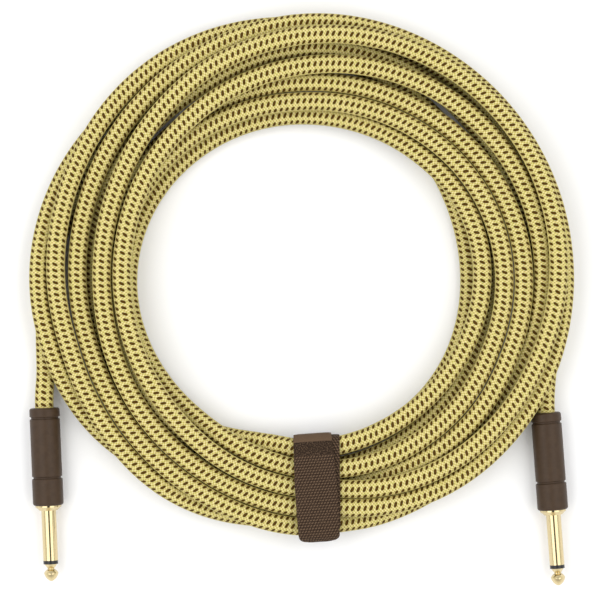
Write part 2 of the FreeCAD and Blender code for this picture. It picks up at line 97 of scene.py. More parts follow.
# Each strand read where it shows, and guessed where others hide it: degrees turned clockwise from the
# left side, radius in millimetres, and layer, where 0 lies on the surface and 1 on top of one other
# strand.
TURN_TABLE = np.array([
    (-25, 121.5, 0), (-20, 117.1, 0), (-15, 114.4, 0), (-10, 112.4, 0), (0, 111.4, 0), (5, 109.2, 0),
    (10, 106.4, 0), (20, 103.6, 0), (30, 102.3, 0), (45, 100.6, 0), (60, 97.2, 0), (90, 87.7, 0),
    (110, 81.3, 0), (120, 78.3, 0), (130, 75.7, 0), (140, 74.1, 0), (150, 72.8, 0), (160, 72.2, 0),
    (170, 72.4, 0), (180, 72.9, 0), (190, 73.7, 0), (200, 74.7, 0), (210, 75.7, 0), (230, 76.1, 0),
    (250, 75.9, 0), (262, 74.8, 0), (273, 76.1, 0.3), (285, 78.3, 0.6), (300, 79.5, 0.8), (330, 80, 0.85),
    (360, 80, 0.85), (390, 80.6, 0.8), (403, 80.8, 0.8), (410, 80.3, 0.8), (420, 79.2, 0.7),
    (430, 78.4, 0.6), (440, 77.7, 0.55), (450, 77.5, 0.55), (460, 77.5, 0.55), (470, 77.8, 0.6),
    (480, 79.1, 0.7), (490, 80.6, 0.9), (500, 82.3, 1.2), (510, 84.3, 1.6), (520, 85.9, 1.9),
    (530, 87.1, 1.9), (540, 88.5, 1.6), (550, 89, 1.4), (560, 89, 1.3), (570, 88.8, 1.3), (580, 88.2, 1.3),
    (590, 87.3, 1.35), (600, 85.9, 1.5), (610, 84.2, 1.5), (620, 82.3, 1.2), (633, 79.3, 1), (640, 78, 0.8),
    (650, 77.1, 0.6), (660, 76.7, 0.3), (670, 76.2, 0.1), (690, 76.1, 0), (720, 76.1, 0), (730, 76, 0),
    (740, 75.2, 0), (750, 74.1, 0), (760, 73, 0), (770, 72.2, 0), (780, 71.5, 0), (790, 71.1, 0),
    (800, 71, 0), (810, 71.1, 0), (820, 71.6, 0), (830, 72.6, 0), (840, 74.1, 0), (848, 75.2, 0.2),
    (860, 78.3, 0.5), (870, 80.8, 0.9), (880, 82, 1.2), (890, 80.8, 1.2), (900, 78.9, 1.3),
    (910, 77.4, 1.5), (920, 76.3, 1.5), (930, 74.5, 1.3), (940, 73.2, 1), (950, 72, 0.9), (960, 71.3, 0.9),
    (970, 71.9, 0.9), (980, 72.9, 0.9), (993, 75, 0.5), (1000, 77, 0.1), (1020, 81.7, 0), (1050, 83.8, 0),
    (1080, 83.8, 0), (1110, 83.4, 0), (1130, 83, 0.1), (1140, 82.6, 0.5), (1150, 82.3, 1),
    (1160, 82.3, 1.2), (1170, 82.5, 1.2), (1180, 84.2, 1.2), (1190, 85.8, 1.2), (1200, 87.8, 1.2),
    (1210, 90.1, 1.2), (1220, 92.1, 1.2), (1230, 93.7, 1.1), (1240, 95, 1), (1250, 96.8, 1),
    (1260, 97.8, 1), (1270, 98.3, 1), (1280, 98.3, 1), (1290, 97.4, 0.9), (1300, 96.3, 0.8),
    (1310, 95, 0.7), (1320, 93.7, 0.6), (1330, 91.6, 0.4), (1340, 89.7, 0), (1346, 89, 0), (1353, 89.9, 0),
    (1360, 92, 0), (1370, 96.3, 0), (1380, 101.3, 0), (1390, 105.6, 0), (1395, 107.6, 0.1),
    (1400, 109.3, 0.2), (1405, 110.6, 0.4), (1410, 111.9, 0.7), (1420, 112.8, 1), (1430, 112.7, 1),
    (1440, 112.2, 1), (1450, 111.4, 0.7), (1460, 110.9, 0.4), (1470, 110.9, 0.2), (1480, 110.5, 0.1),
    (1490, 108.8, 0), (1500, 106.6, 0), (1530, 98.5, 0), (1560, 94.6, 0), (1575, 93.3, 0), (1583, 89, 0),
    (1590, 84.3, 0.3), (1600, 79.5, 0.5), (1610, 77.4, 0.5), (1620, 76.5, 0.5), (1630, 76.8, 0.7),
    (1640, 78, 0.85), (1650, 79.3, 0.85), (1660, 80.3, 0.85), (1670, 80.6, 0.85), (1680, 80.8, 0.8),
    (1690, 81.1, 0.6), (1700, 81.7, 0.1), (1713, 83, 0), (1725, 85.6, 0), (1740, 88.6, 0), (1760, 90.7, 0),
    (1770, 91.2, 0), (1780, 91.2, 0), (1800, 91.2, 0), (1820, 91.6, 0), (1830, 92, 0), (1840, 93.3, 0),
    (1860, 95.9, 0), (1880, 99.3, 0.1), (1890, 100.6, 0.2), (1900, 102.3, 0.3), (1910, 102.8, 0.3),
    (1920, 103.2, 0.2), (1930, 102.8, 0.1), (1940, 99.8, 0), (1950, 97.6, 0), (1965, 98, 0),
    (1980, 99.8, 0), (2000, 102.3, 0), (2040, 105.8, 0), (2050, 105.9, 0), (2060, 105.9, 0),
    (2066, 106, 0.1), (2073, 106, 0.8), (2080, 105.1, 1.2), (2090, 102.6, 1.5), (2100, 100.2, 1.65),
    (2110, 98.8, 1.65), (2120, 97.6, 1.4), (2130, 96.7, 1.2), (2140, 95.9, 1.1), (2150, 95.3, 1),
    (2160, 95, 1), (2170, 95.2, 1), (2180, 96.3, 1), (2190, 97.8, 1), (2200, 100.4, 1.1),
    (2210, 103.4, 1.3), (2220, 106, 1.5), (2230, 108.4, 1.6), (2240, 110.6, 1.5), (2250, 111.9, 1.3),
    (2260, 112.1, 1.1), (2270, 112.3, 1), (2280, 112.7, 1), (2290, 113.4, 1), (2300, 113.8, 1),
    (2310, 113.8, 1), (2320, 113.3, 1), (2330, 112.5, 1), (2340, 111.9, 1), (2350, 111.5, 1),
    (2360, 111.2, 1), (2370, 111.2, 1), (2380, 110.6, 1), (2390, 109.3, 1), (2400, 107.6, 1),
    (2410, 105.7, 1), (2420, 102.7, 1), (2426, 100.8, 1), (2433, 98.7, 1), (2440, 96.8, 1.1),
    (2450, 93.1, 1.2), (2460, 90.3, 1.3), (2470, 87.7, 1.4), (2480, 85.6, 1.5), (2490, 84.3, 1.6),
    (2500, 83, 1.7), (2510, 82.5, 1.8), (2520, 82.3, 1.8), (2530, 83, 1.7), (2540, 84.3, 1.6),
    (2550, 86.9, 1.5), (2560, 90.4, 1.3), (2570, 93.3, 1.2), (2580, 96.1, 1.2), (2590, 99.2, 1.3),
    (2600, 102.5, 1.5), (2610, 106.4, 1.9), (2620, 108.8, 2), (2630, 110.4, 2), (2640, 111.3, 1.9),
    (2650, 112.1, 1.8), (2660, 112.5, 1.7), (2670, 112.5, 1.6), (2680, 111.9, 1.6), (2690, 111.1, 1.6),
    (2700, 110.6, 1.6), (2710, 109.9, 1.7), (2720, 108.7, 1.8), (2730, 106.9, 1.7), (2740, 105.3, 1.5),
    (2750, 103.2, 1.3), (2760, 100.6, 1.2), (2770, 97.6, 1.1), (2780, 94.4, 1), (2786, 92.2, 1),
    (2793, 89.7, 1), (2800, 87.6, 1.3), (2810, 84.2, 1.6), (2820, 81.7, 1.7), (2830, 79.7, 1.7),
    (2840, 77.9, 1.7), (2850, 76.3, 1.7), (2860, 76.2, 1.6), (2880, 76.1, 1.5), (2890, 76.8, 1.5),
    (2900, 77.6, 1.5), (2910, 78.7, 1.5), (2920, 80.6, 1.6), (2930, 83, 1.7), (2940, 84.6, 1.8),
    (2950, 86.8, 1.8), (2960, 89, 1.8), (2970, 91.4, 1.8), (2980, 94.4, 1.7), (2990, 97.1, 1.6),
    (3000, 99, 1.6), (3010, 101.5, 1.8), (3020, 103.5, 2), (3030, 104.9, 2.2), (3040, 106, 2.2),
    (3050, 106.1, 2), (3060, 105.1, 1.5), (3070, 103.2, 1), (3080, 100.2, 0.5), (3090, 98.5, 0.2),
    (3100, 97.8, 0), (3120, 98, 0), (3140, 98.9, 0), (3153, 101.5, 0), (3160, 103.2, 0.2),
    (3170, 103.9, 0.4), (3180, 104.2, 0.7), (3190, 104.5, 0.9), (3200, 105, 1), (3210, 105.3, 1),
    (3220, 105, 1), (3230, 104.9, 1.1), (3240, 105.3, 1.2), (3250, 106.6, 1.5), (3260, 108.4, 1.6),
    (3270, 109.6, 1.5), (3280, 110.8, 1.3), (3290, 111.5, 1.1), (3300, 111.3, 0.9), (3310, 110.5, 0.7),
    (3315, 110, 0.5), (3330, 108.8, 0.2), (3345, 107.9, 0), (3360, 107.9, 0), (3380, 108.8, 0),
    (3400, 110.9, 0), (3420, 110.9, 0), (3430, 110.9, 0), (3435, 111.2, 0), (3440, 112.7, 0),
    (3445, 116.2, 0)])
STEP_DEGREES = 5.0
TURN_STEPS = 72
MOST_TURNS = 9
LEFT_AZIMUTH = 270.0
STRAP_AZIMUTH = 176.0

# The settling, in millimetres: heights are those of a strand's centre. Within TIED_DEGREES of the
# strap its loop holds the strands between two heights and two radii. The pull towards the drawn line
# ends after PULLED_STEPS, and the rest of the steps only smooth the turns and part them.
LIES_AT, LAYER_RISE, KEPT_APART = 4.0, 8.4, 8.42
TIED_DEGREES = 9.0
TIED_LOW, TIED_HIGH, OPEN_HIGH = 5.4, 14.1, 99.0
TIED_INNER, TIED_OUTER = 72.2, 105.3
LEAD_HEIGHTS = np.array([6.35, 5.6, 4.7, 4.2, 4.0])
RADIUS_SOFTENED, LAYER_SOFTENED = 3, 4
SETTLING_STEPS, PULLED_STEPS = 1600, 1300
RADIUS_PULL, HEIGHT_PULL, SAG = 0.05, 0.01, 0.012
RADIUS_SMOOTHING, HEIGHT_SMOOTHING, CALM_EASE = 0.2, 0.45, 0.3


def settled_turns():
    """Centreline points of the turns, in metres about the coil's centre. A point is a radius and a
    height at an azimuth, and points that share an azimuth are pushed to KEPT_APART, which is a little
    more than the cord's thickness."""
    turned = np.arange(TURN_TABLE[0, 0], TURN_TABLE[-1, 0] + 1, STEP_DEGREES)
    count, lead = len(turned), len(LEAD_HEIGHTS)
    drawn = np.interp(turned, TURN_TABLE[:, 0], TURN_TABLE[:, 1])
    drawn[lead:-lead] = softened(drawn, RADIUS_SOFTENED)[lead:-lead]
    layer = softened(np.interp(turned, TURN_TABLE[:, 0], TURN_TABLE[:, 2]), LAYER_SOFTENED)
    azimuth = (LEFT_AZIMUTH + turned) % 360.0
    tied = np.abs(azimuth - STRAP_AZIMUTH) < TIED_DEGREES
    lowest = np.where(tied, TIED_LOW, LIES_AT)
    highest = np.where(tied, TIED_HIGH, OPEN_HIGH)
    radius = drawn.copy()
    rest_height = LIES_AT + LAYER_RISE * layer
    height = rest_height.copy()
    for step in range(SETTLING_STEPS):
        calm = step > PULLED_STEPS
        if not calm:
            radius[1:-1] += RADIUS_PULL * (drawn - radius)[1:-1]
            height += HEIGHT_PULL * (rest_height - height) - SAG
        ease = CALM_EASE if calm else 1.0
        radius[1:-1] += RADIUS_SMOOTHING * ease * to_middle(radius)
        height[1:-1] += HEIGHT_SMOOTHING * ease * to_middle(height)
        for loops in range(1, MOST_TURNS + 1):
            low, high = slice(0, count - TURN_STEPS * loops), slice(TURN_STEPS * loops, count)
            across, up = radius[high] - radius[low], height[high] - height[low]
            apart = np.maximum(np.hypot(across, up), 1e-6)
            push = np.maximum(0.0, KEPT_APART - apart) / apart * 0.5
            radius[low] -= push * across
            radius[high] += push * across
            height[low] -= push * up
            height[high] += push * up
        height = np.clip(height, lowest, highest)
        radius = np.where(tied, np.clip(radius, TIED_INNER, TIED_OUTER), radius)
        radius[:lead - 1], radius[1 - lead:] = drawn[:lead - 1], drawn[1 - lead:]
        height[:lead], height[-lead:] = LEAD_HEIGHTS, LEAD_HEIGHTS[::-1]
    angle = np.radians(azimuth)
    return np.stack([radius * np.sin(angle), radius * np.cos(angle), height], axis=1) * MM


def plug_back(lean):
    """Direction from a plug's tip towards its cord."""
    return np.array([-math.sin(math.radians(lean)), math.cos(math.radians(lean)), 0.0])


LEFT_LEAN, RIGHT_LEAN = 2.4, 4.3
STRAIGHT_LEAD = 0.005
left_rear = np.array([-110.7, -54.6, 6.6]) * MM
right_rear = np.array([105.1, -56.6, 6.6]) * MM
turns = settled_turns()
route = np.vstack([
    left_rear, left_rear + plug_back(LEFT_LEAN) * STRAIGHT_LEAD, turns[1:-1],
    right_rear + plug_back(RIGHT_LEAN) * STRAIGHT_LEAD, right_rear]) + COIL_CENTRE

line_curve = bpy.data.curves.new("cord_line", "CURVE")
line_curve.dimensions = "3D"
line_spline = line_curve.splines.new("NURBS")
line_spline.points.add(len(route) - 1)
line_spline.points.foreach_set("co", np.hstack([route, np.ones((len(route), 1))]).ravel())
line_spline.order_u = 3
line_spline.use_endpoint_u = True
line_curve.resolution_u = 4
line_object = bpy.data.objects.new("cord_line", line_curve)
bpy.context.scene.collection.objects.link(line_object)
line_mesh = bpy.data.meshes.new_from_object(line_object)
line = np.empty(len(line_mesh.vertices) * 3)
line_mesh.vertices.foreach_get("co", line)
line = line.reshape(-1, 3)
bpy.data.objects.remove(line_object)
bpy.data.meshes.remove(line_mesh)


def run_along(path):
    """Length along a path up to each of its points."""
    return np.concatenate([[0.0], np.cumsum(np.linalg.norm(np.diff(path, axis=0), axis=1))])


def points_at(path, run, at):
    """Points of a path at the given lengths along it."""
    return np.stack([np.interp(at, run, values) for values in path.T], axis=1)


RING_SPACING = 0.0023
CORD_SIDES = 20
line_lengths = run_along(line)
cord_length = line_lengths[-1]
ring_at = np.linspace(0.0, cord_length, int(cord_length / RING_SPACING))
cord_line = points_at(line, line_lengths, ring_at)


def ring_faces(rings, sides):
    """Corner numbers of the four-sided faces between rings of points, each ring joined round."""
    ring, corner = np.meshgrid(np.arange(rings - 1), np.arange(sides), indexing="ij")
    beside = (corner + 1) % sides
    return np.stack([ring * sides + corner, ring * sides + beside,
                     (ring + 1) * sides + beside, (ring + 1) * sides + corner], axis=-1).reshape(-1, 4)


def corner_patterns(run, ring, near, far):
    """Pattern coordinates of the four corners of each face, in the order of ring_faces: the run at its
    two rings, and the way across at its near and far side."""
    return np.stack([
        np.stack([run[ring], near], axis=-1), np.stack([run[ring], far], axis=-1),
        np.stack([run[ring + 1], far], axis=-1), np.stack([run[ring + 1], near], axis=-1)], axis=1)


def mesh_piece(name, points, faces, uvs=None, smooth=True):
    """New object from points, faces and, where given, two pattern coordinates for each face corner."""
    mesh = bpy.data.meshes.new(name)
    mesh.from_pydata(points.tolist(), [], faces.tolist() if hasattr(faces, "tolist") else faces)
    mesh.polygons.foreach_set("use_smooth", np.full(len(mesh.polygons), smooth))
    if uvs is not None:
        layer = mesh.uv_layers.new(name="pattern")
        layer.data.foreach_set("uv", uvs.ravel())
    mesh.update()
    piece = bpy.data.objects.new(name, mesh)
    bpy.context.scene.collection.objects.link(piece)
    return piece


def cord_tube(name, centres, diameter, sides):
    """Round tube along a line: each ring is square to the line, its seam underneath, with the length
    along the line and the way round it as pattern coordinates in metres."""
    ahead = np.gradient(centres, axis=0)
    ahead /= np.linalg.norm(ahead, axis=1)[:, None]
    up = np.array([0.0, 0.0, 1.0]) - ahead * ahead[:, 2:3]
    up /= np.linalg.norm(up, axis=1)[:, None]
    side = np.cross(ahead, up)
    angle = np.linspace(0.0, 2 * math.pi, sides, endpoint=False)
    swing = -np.sin(angle)[None, :, None] * side[:, None] - np.cos(angle)[None, :, None] * up[:, None]
    points = centres[:, None] + swing * diameter / 2
    faces = ring_faces(len(centres), sides)
    ring, corner = faces[:, 0] // sides, faces[:, 0] % sides
    width = math.pi * diameter / sides
    uvs = corner_patterns(run_along(centres), ring, corner * width, (corner + 1) * width)
    return mesh_piece(name, points.reshape(-1, 3), faces, uvs)


def add_node(tree, kind, settings=None, **inputs):
    """Shader node with its settings, and its inputs by name or number, each a value or a socket."""
    made = tree.nodes.new(kind)
    for name, value in (settings or {}).items():
        setattr(made, name, value)
    for name, value in inputs.items():
        numbered = name[0] == "i" and name[1:].isdigit()
        socket = made.inputs[int(name[1:]) if numbered else name.replace("_", " ")]
        if isinstance(value, bpy.types.NodeSocket):
            tree.links.new(value, socket)
        else:
            socket.default_value = value
    return made


def maths(tree, operation, first, second=0.0, third=0.0):
    """Result of one math node."""
    made = add_node(tree, "ShaderNodeMath", {"operation": operation}, i0=first, i1=second, i2=third)
    return made.outputs[0]


def times(tree, first, second):
    """Product of two values."""
    return maths(tree, "MULTIPLY", first, second)


def plus(tree, first, second):
    """Sum of two values."""
    return maths(tree, "ADD", first, second)


def within_repeat(tree, value):
    """Place within each whole step of a value, from -0.5 to 0.5."""
    return maths(tree, "SUBTRACT", maths(tree, "FRACT", value), 0.5)


def oval_reach(tree, first, first_power, second, second_power):
    """Sum of two lengths without their signs, each raised to a power: 1 on the edge of an oval."""
    return plus(tree, maths(tree, "POWER", maths(tree, "ABSOLUTE", first), first_power),
                maths(tree, "POWER", maths(tree, "ABSOLUTE", second), second_power))


def ramped(tree, value, low, high):
    """0 below low and 1 above high, with a smooth step between them."""
    made = add_node(tree, "ShaderNodeMapRange", {"interpolation_type": "SMOOTHSTEP"},
                    Value=value, From_Min=low, From_Max=high)
    return made.outputs[0]


def blended(tree, share, first, second):
    """Colour between two colours."""
    made = add_node(tree, "ShaderNodeMix", {"data_type": "RGBA"}, i0=share, i6=first, i7=second)
    return made.outputs[2]


def mixed(tree, share, first, second):
    """Value between two values."""
    return add_node(tree, "ShaderNodeMix", i0=share, i2=first, i3=second).outputs[0]


def noise(tree, place, scale, detail):
    """Soft noise about 0.5."""
    return add_node(tree, "ShaderNodeTexNoise", Vector=place, Scale=scale, Detail=detail).outputs[0]


def pattern_place(tree):
    """The piece's pattern coordinates in metres: both as one vector, then the run and the way across."""
    pattern = add_node(tree, "ShaderNodeUVMap", {"uv_map": "pattern"}).outputs[0]
    parted = add_node(tree, "ShaderNodeSeparateXYZ", Vector=pattern)
    return pattern, parted.outputs[0], parted.outputs[1]


def coloured(tree, shader, colour):
    """Gives the shader its base colour."""
    tree.links.new(colour, shader.inputs["Base Color"])


def raised(tree, shader, height, strength, distance):
    """Gives the shader a fine relief from a height, with its distance in metres."""
    bump = add_node(tree, "ShaderNodeBump", Strength=strength, Distance=distance, Height=height)
    tree.links.new(bump.outputs[0], shader.inputs["Normal"])


def finish_of(name, roughness, metallic=0.0, sheen=0.0, specular=0.5):
    """New material with its shader's plain values set."""
    made = bpy.data.materials.new(name)
    made.use_nodes = True
    shader = made.node_tree.nodes["Principled BSDF"]
    shader.inputs["Roughness"].default_value = roughness
    shader.inputs["Metallic"].default_value = metallic
    shader.inputs["Sheen Weight"].default_value = sheen
    shader.inputs["Specular IOR Level"].default_value = specular
    return made, made.node_tree, shader


def wear(piece, material):
    """Gives a piece one material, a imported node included."""
    piece.data.materials.clear()
    piece.data.materials.append(material)


def tweed_jacket():
    """Cream braid, its yarns crossing on two diagonals, with rings of seven dark slanted stitches. A
    stitch is an oval, half_length by half_width in millimetres, turned by the lean."""
    ring_pitch, stitch_pitch = 0.0026, math.pi * CORD_D / 7
    lean_cos, lean_sin = 0.9, 0.44
    half_length, half_width = 1.3, 0.64
    # The crease colour is painted shade for the gaps between the yarns, and highlight is a painted highlight
    # where both yarns rise.
    painted_crease_shade, cream, highlight = srgb(148, 128, 50), srgb(205, 190, 112), srgb(234, 223, 184)
    green_cast = srgb(188, 186, 90)
    stitch_dark, stitch_light = srgb(60, 40, 4), srgb(98, 70, 16)
    jacket, tree, shader = finish_of("tweed_jacket", 0.74, specular=0.12)
    pattern, length_along, way_round = pattern_place(tree)
    loose = noise(tree, pattern, 420.0, 2.0)
    drift = times(tree, maths(tree, "SUBTRACT", loose, 0.5), 0.22)
    along = plus(tree, maths(tree, "DIVIDE", length_along, ring_pitch), drift)
    around = maths(tree, "DIVIDE", way_round, stitch_pitch)
    ahead = times(tree, within_repeat(tree, along), ring_pitch / MM)
    aside = times(tree, within_repeat(tree, around), stitch_pitch / MM)
    lengthwise = maths(tree, "SUBTRACT", times(tree, aside, lean_cos), times(tree, ahead, lean_sin))
    crosswise = plus(tree, times(tree, ahead, lean_cos), times(tree, aside, lean_sin))
    reach = oval_reach(tree, maths(tree, "DIVIDE", lengthwise, half_length), 2.6,
                       maths(tree, "DIVIDE", crosswise, half_width), 2.2)
    stitch = maths(tree, "SUBTRACT", 1.0, ramped(tree, reach, 0.7, 1.35))
    yarns = []
    for hand in (1.0, -1.0):
        phase = times(tree, plus(tree, along, times(tree, around, hand)), 2 * math.pi)
        yarns.append(maths(tree, "ABSOLUTE", maths(tree, "SINE", phase)))
    over = maths(tree, "MAXIMUM", yarns[0], yarns[1])
    under = maths(tree, "MINIMUM", yarns[0], yarns[1])
    fibre = noise(tree, pattern, 2600.0, 3.0)
    tint = noise(tree, pattern, 900.0, 1.0)
    # Painted shade in the gaps between the yarns, then a painted highlight where they cross.
    base = blended(tree, ramped(tree, over, 0.15, 0.85), painted_crease_shade, cream)
    base = blended(tree, times(tree, ramped(tree, under, 0.4, 0.95), 0.65), base, highlight)
    base = blended(tree, times(tree, ramped(tree, tint, 0.52, 0.66), 0.45), base, green_cast)
    dark = blended(tree, ramped(tree, fibre, 0.35, 0.7), stitch_dark, stitch_light)
    coloured(tree, shader, blended(tree, stitch, base, dark))
    relief = plus(tree, times(tree, over, 0.55), times(tree, fibre, 0.3))
    relief = plus(tree, relief, times(tree, stitch, 0.25))
    raised(tree, shader, relief, 0.55, 0.00022)
    return jacket


jacket_material = tweed_jacket()
cord = cord_tube("woven_cord", cord_line, CORD_D, CORD_SIDES)
wear(cord, jacket_material)
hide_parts("cord_coil", "cord_lead_left", "cord_lead_right")
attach(cord, "cable")


# Stripped ends of the cord, inside the grips: the end of the jacket, the insulated core, the bare
# conductor that goes to the tip and the twisted shield that goes to the sleeve.

def new_group(name, inputs, outputs):
    """Empty node group with float inputs, given as (name, value), and float outputs."""
    group = bpy.data.node_groups.new(name, "ShaderNodeTree")
    for label, value in inputs:
        socket = group.interface.new_socket(label, in_out="INPUT", socket_type="NodeSocketFloat")
        socket.default_value = value
    for label in outputs:
        group.interface.new_socket(label, in_out="OUTPUT", socket_type="NodeSocketFloat")
    return group, group.nodes.new("NodeGroupInput"), group.nodes.new("NodeGroupOutput")


def grain_group():
    """Fine mottle and a finer relief on object coordinates, both about 0.5. Size mm is the finer
    one's grain. Stretch draws both out along the plug, or round it where it is below 1."""
    group, incoming, outgoing = new_group("grain", [("Size mm", 0.5), ("Stretch", 1.0)], ["Mottle", "Relief"])
    place = add_node(group, "ShaderNodeTexCoord").outputs["Object"]
    parted = add_node(group, "ShaderNodeSeparateXYZ", Vector=place)
    shortened = maths(group, "DIVIDE", parted.outputs[1], incoming.outputs["Stretch"])
    drawn = add_node(group, "ShaderNodeCombineXYZ", X=parted.outputs[0], Y=shortened, Z=parted.outputs[2])
    scale = maths(group, "DIVIDE", 1000.0, incoming.outputs["Size mm"])
    mottle = noise(group, drawn.outputs[0], times(group, scale, 0.15), 3.0)
    relief = noise(group, drawn.outputs[0], scale, 2.0)
    group.links.new(mottle, outgoing.inputs["Mottle"])
    group.links.new(relief, outgoing.inputs["Relief"])
    return group


grain = grain_group()


def grained(name, dark, light, roughness, spread=0.08, size_mm=0.5, stretch=1.0, relief_mm=0.01,
            strength=0.3, metallic=0.0, sheen=0.0, specular=0.5):
    """Material between two close colours, with the grain's mottle in its colour and its gloss."""
    made, tree, shader = finish_of(name, roughness, metallic, sheen, specular)
    laid = add_node(tree, "ShaderNodeGroup", {"node_tree": grain}, Size_mm=size_mm, Stretch=stretch)
    mottle = laid.outputs["Mottle"]
    coloured(tree, shader, blended(tree, ramped(tree, mottle, 0.35, 0.65), dark, light))
    gloss = plus(tree, roughness - spread / 2, times(tree, mottle, spread))
    tree.links.new(gloss, shader.inputs["Roughness"])
    raised(tree, shader, laid.outputs["Relief"], strength, relief_mm * MM)
    return made


def wear_both(name, material):
    """Gives one material to the left and to the right plug's piece of this name."""
    for side in ("left", "right"):
        wear(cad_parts[name + "_" + side], material)


wear_both("jacket_end", grained(
    "jacket_end_weave", srgb(196, 178, 96), srgb(232, 216, 140), 0.8, size_mm=0.7, relief_mm=0.2, sheen=0.2))
wear_both("core", grained(
    "core_insulation", srgb(206, 202, 192), srgb(222, 218, 208), 0.5, size_mm=0.3, stretch=6.0))
wear_both("conductor", grained(
    "bare_copper", srgb(196, 112, 66), srgb(226, 146, 96), 0.35, size_mm=0.2, stretch=10.0,
    relief_mm=0.05, metallic=1.0))
wear_both("shield_tail", grained(
    "twisted_shield", srgb(176, 98, 56), srgb(222, 140, 90), 0.42, size_mm=0.25, stretch=4.0,
    relief_mm=0.1, strength=0.6, metallic=1.0))


# Terminals, inside the grips: an insulating tube of white plastic, a black fibre washer, two pressed
# brass lugs, and the pale inner mould that is cast round them before the grip.

brass_lug = grained(
    "pressed_lug", srgb(196, 172, 112), srgb(222, 198, 138), 0.3, size_mm=0.3, stretch=8.0, metallic=1.0)
wear_both("tip_lug", brass_lug)
wear_both("ground_lug", brass_lug)
wear_both("inner_insulator", grained(
    "insulating_tube", srgb(214, 212, 204), srgb(228, 226, 218), 0.45, size_mm=0.4))
wear_both("lug_washer", grained("fibre_washer", srgb(40, 38, 36), srgb(58, 55, 52), 0.6, size_mm=0.2))
wear_both("inner_mould", grained(
    "inner_mould_plastic", srgb(150, 146, 134), srgb(166, 162, 150), 0.6, size_mm=0.6, relief_mm=0.03))


# Plug contacts: sleeve with its flange and the tip, turned brass under pale gold plating, polished
# along the turning, with a black moulded ring between them.

gold = grained(
    "gold_plating", srgb(204, 186, 142), srgb(218, 201, 158), 0.15, spread=0.06, size_mm=0.12,
    stretch=0.12, relief_mm=0.002, strength=0.15, metallic=1.0)
wear_both("sleeve", gold)
wear_both("tip", gold)
wear_both("tip_ring", grained("ring_plastic", srgb(14, 13, 12), srgb(24, 23, 22), 0.3, size_mm=0.3))


# Grips: dark brown plastic moulded on in one go over the terminals and the end of the jacket, soft to
# the touch, with a fine even texture and a low gloss. Two grooves run round each.

wear_both("grip", grained(
    "grip_plastic", srgb(64, 49, 36), srgb(69, 53, 39), 0.44, spread=0.1, size_mm=0.35, relief_mm=0.03,
    strength=0.35, specular=0.2))


# Tie strap: 18 mm brown hook-and-loop webbing that goes once round all the turns, with its free end
# folded back over the top and pressed down. Each layer is a flat band carried along its path, with
# radius from the coil's centre and height in millimetres.

STRAP_WIDTH, STRAP_T = 18.0, 1.0
BAND_LOW, BAND_HIGH, BAND_TOP = 67.2, 110.1, 18.9
INNER_BEND, OUTER_BEND = 5.6, 4.9
BAND_SWAY = 2.6
TAPER_FROM, TAPER_TO, TAPER = 106.0, 109.5, 3.0
BAND_SPACING = 0.6
STRIP_SIDES = 44
EDGE_POWER, FACE_POWER = 0.42, 0.62
strap_angle = math.radians(STRAP_AZIMUTH)
strap_out = np.array([math.sin(strap_angle), math.cos(strap_angle), 0.0])
strap_side = np.array([-strap_out[1], strap_out[0], 0.0])


def arc_points(centre, radius, first, last, count):
    """Points of an arc in the plane of radius and height, angles in degrees from outwards to up."""
    angle = np.radians(np.linspace(first, last, count))
    return np.stack([centre[0] + radius * np.cos(angle), centre[1] + radius * np.sin(angle)], axis=1)


def evenly(path, spacing):
    """The same path with its points at an even spacing."""
    run = run_along(path)
    return points_at(path, run, np.linspace(0.0, run[-1], int(run[-1] / spacing) + 1))


def webbing_strip(name, path, width, thickness, closed=False, end_round=0.0, sway=None):
    """Flat band with rounded edges carried along a path in the plane of radius and height. Each
    section is a squared oval across the band. end_round rounds off the two corners at the far end,
    and sway shifts a section along the strap's width. Millimetres in, metres out."""
    run = run_along(path)
    if closed:
        ahead = np.roll(path, -1, axis=0) - np.roll(path, 1, axis=0)
    else:
        ahead = np.gradient(path, axis=0)
    ahead /= np.linalg.norm(ahead, axis=1)[:, None]
    above = np.stack([-ahead[:, 1], ahead[:, 0]], axis=1)
    angle = np.linspace(0.0, 2 * math.pi, STRIP_SIDES, endpoint=False)
    flat = np.sign(np.cos(angle)) * np.abs(np.cos(angle)) ** EDGE_POWER
    thick = np.sign(np.sin(angle)) * np.abs(np.sin(angle)) ** FACE_POWER
    half = np.broadcast_to(width, len(path)) / 2
    if end_round:
        beyond = np.clip(run - (run[-1] - end_round), 0.0, end_round)
        half = half - end_round + np.sqrt(np.maximum(end_round ** 2 - beyond ** 2, 0.0))
    shift = np.zeros(len(path)) if sway is None else sway
    aside = shift[:, None] + half[:, None] * flat[None]
    lifted = path[:, None] + above[:, None] * (thick[None, :, None] * thickness / 2)
    points = COIL_CENTRE + (strap_out * lifted[..., :1] + strap_side * aside[..., None]) * MM
    points[..., 2] = lifted[..., 1] * MM
    rings = len(path)
    if closed:
        faces = ring_faces(rings + 1, STRIP_SIDES) % (rings * STRIP_SIDES)
        run = np.append(run, run[-1] + np.linalg.norm(path[0] - path[-1]))
    else:
        faces = ring_faces(rings, STRIP_SIDES)
    ring, corner = np.divmod(np.arange(len(faces)), STRIP_SIDES)
    wide = flat * np.max(width) / 2
    uvs = corner_patterns(run, ring, wide[corner], wide[(corner + 1) % STRIP_SIDES]) * MM
    faces = faces.tolist()
    if not closed:
        last = (rings - 1) * STRIP_SIDES
        faces += [list(range(STRIP_SIDES))[::-1], list(range(last, last + STRIP_SIDES))]
        end_uvs = np.concatenate([
            np.stack([np.full(STRIP_SIDES, run[0]), wide[::-1]], axis=-1),
            np.stack([np.full(STRIP_SIDES, run[-1]), wide], axis=-1)]) * MM
        uvs = np.concatenate([uvs.reshape(-1, 2), end_uvs])
    piece = mesh_piece(name, points.reshape(-1, 3), faces, uvs)
    piece.data.validate()
    return piece


